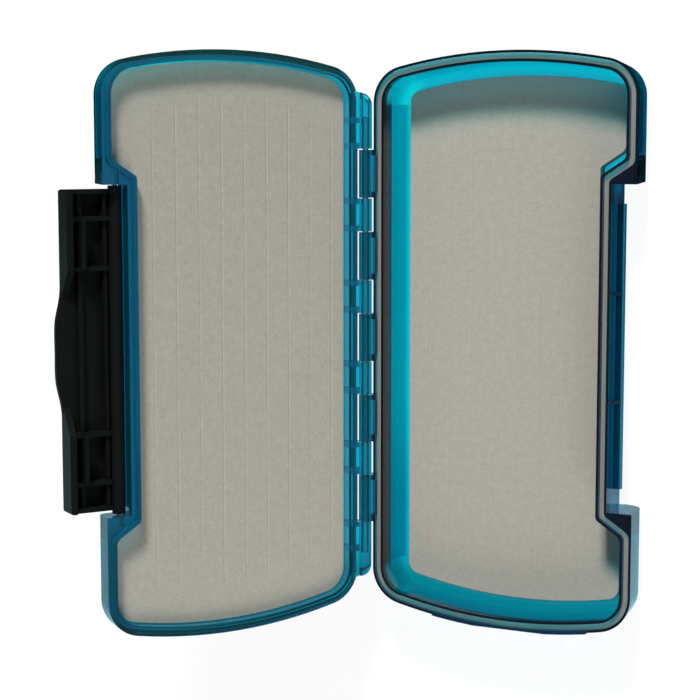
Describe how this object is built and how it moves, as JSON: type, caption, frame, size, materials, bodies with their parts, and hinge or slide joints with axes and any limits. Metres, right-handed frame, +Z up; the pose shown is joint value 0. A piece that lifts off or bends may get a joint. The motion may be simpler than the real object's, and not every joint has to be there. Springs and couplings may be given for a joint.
{
  "type": "fly box",
  "caption": "Slim clear-blue clamshell tackle case, shown open: rounded halves on a pinned hinge, foam pads, a rim seal and one long hook latch.",
  "frame": {"origin": "centre of the base's plan on its flat back, which rests on the table", "axes": "+X from the hinge to the base's latch side, +Y along the box and its hinge, +Z up out of the base's mouth; the lid stands open over the -X side"},
  "size_m": [0.1768, 0.206, 0.1131],
  "materials": {
    "clear_blue": "gloss",
    "seal_rubber": "matte",
    "grey_foam": "matte",
    "adhesive_film": "matte",
    "pin_steel": "satin",
    "latch_black": "satin"
  },
  "bodies": {
    "base": {"base_shell": "clear_blue", "gasket": "seal_rubber", "base_foam": "grey_foam", "base_foam_adhesive": "adhesive_film", "hinge_pin": "pin_steel"},
    "lid": {"lid_shell": "clear_blue", "lid_foam": "grey_foam", "lid_foam_adhesive": "adhesive_film"},
    "latch": {"latch_lever": "latch_black", "latch_pins": "pin_steel"}
  },
  "joints": [
    {"name": "lid_hinge", "type": "hinge", "parent": "base", "child": "lid", "pos_m": [-0.0526, 0, 0.021], "axis": [0, 1, 0], "range_deg": [-55.4, 124.6]},
    {"name": "latch_hinge", "type": "hinge", "parent": "lid", "child": "latch", "pos_m": [-0.11106, 0, 0.09693], "axis": [0, 1, 0], "range_deg": [0, 90]}
  ]
}
